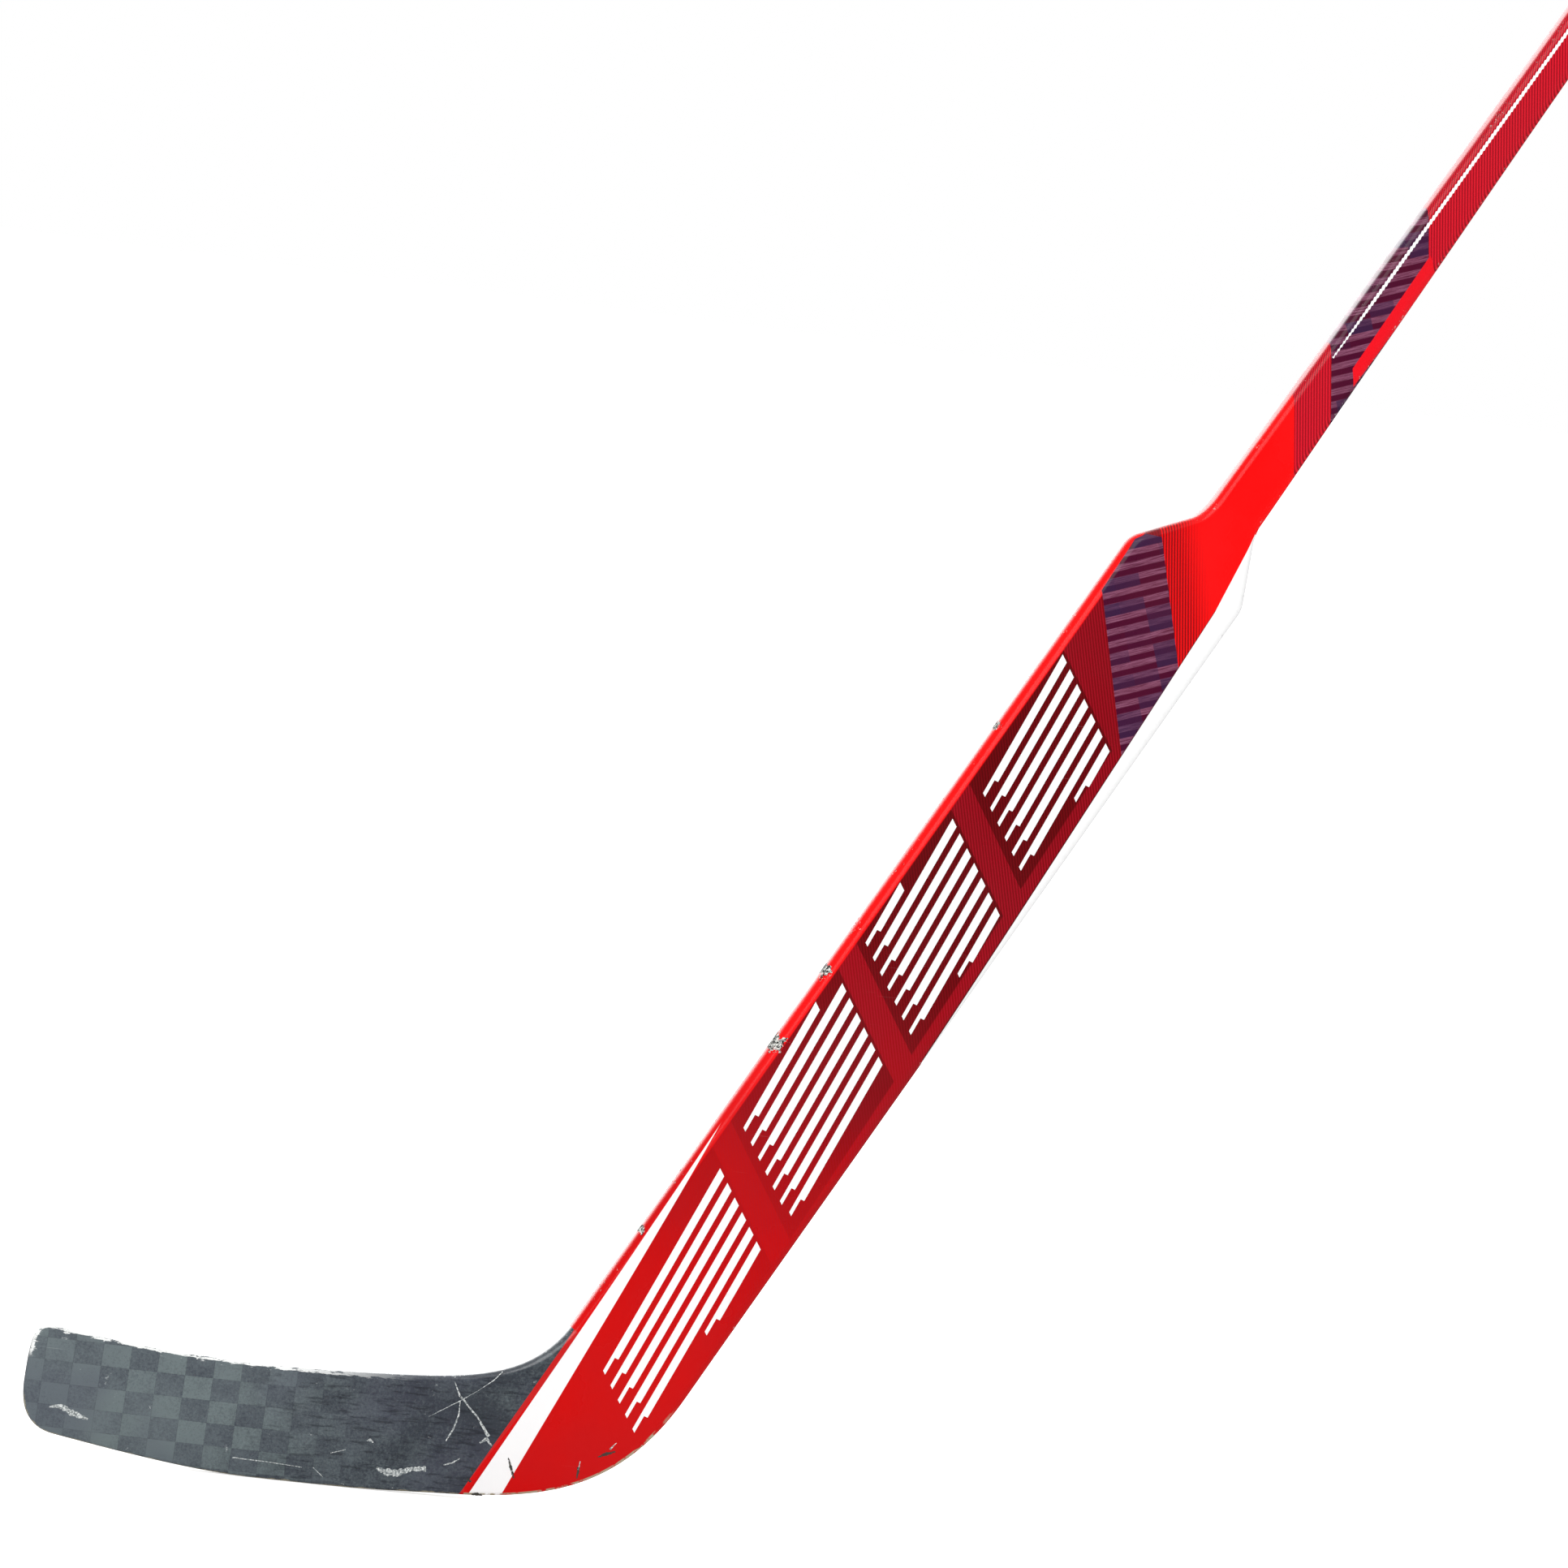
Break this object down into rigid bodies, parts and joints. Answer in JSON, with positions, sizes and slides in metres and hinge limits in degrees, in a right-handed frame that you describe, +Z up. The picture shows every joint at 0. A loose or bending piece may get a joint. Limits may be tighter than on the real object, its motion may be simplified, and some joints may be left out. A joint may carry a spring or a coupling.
{
  "type": "goaltender ice hockey stick",
  "caption": "Goaltender's ice hockey stick with a curved carbon blade, a wide flat paddle, a stepped shoulder and a slim tubular handle with an end cap.",
  "frame": {"origin": "middle of the flat of the blade's sole, where the stick stands on the ice", "axes": "+Z up from the ice, toe of the blade towards -X, handle leaning 28.2 degrees from upright towards +X, convex face of the blade and front of the paddle towards -Y"},
  "size_m": [1.0726, 0.0301, 1.367],
  "materials": {
    "crimson_enamel": "clear-coated crimson paint with fine ruled lines over carbon laminate, lightly scratched",
    "bright_enamel": "clear-coated bright red paint with a faint twill, chipped along the edges",
    "blade_carbon": "dark carbon laid in wide flat tows, clear-coated, worn and chipped",
    "bare_carbon": "uncoated moulded carbon",
    "foam": "rigid closed-cell foam",
    "cap_rubber": "matt moulded rubber"
  },
  "bodies": {
    "root": {"end_cap": "cap_rubber", "handle_tube": "crimson_enamel", "shoulder_block": "bright_enamel", "paddle_front_skin": "crimson_enamel", "paddle_back_skin": "crimson_enamel", "paddle_leading_rail": "bright_enamel", "paddle_trailing_rail": "crimson_enamel", "heel_rail": "bright_enamel", "paddle_leading_core": "foam", "paddle_web": "bare_carbon", "paddle_trailing_core": "foam", "heel_core": "foam", "blade_tenon": "bare_carbon", "blade_front_skin": "blade_carbon", "blade_back_skin": "blade_carbon", "blade_top_rail": "blade_carbon", "blade_sole_rail": "blade_carbon", "blade_upper_core": "foam", "blade_bridge": "bare_carbon", "blade_lower_core": "foam"}
  },
  "joints": []
}
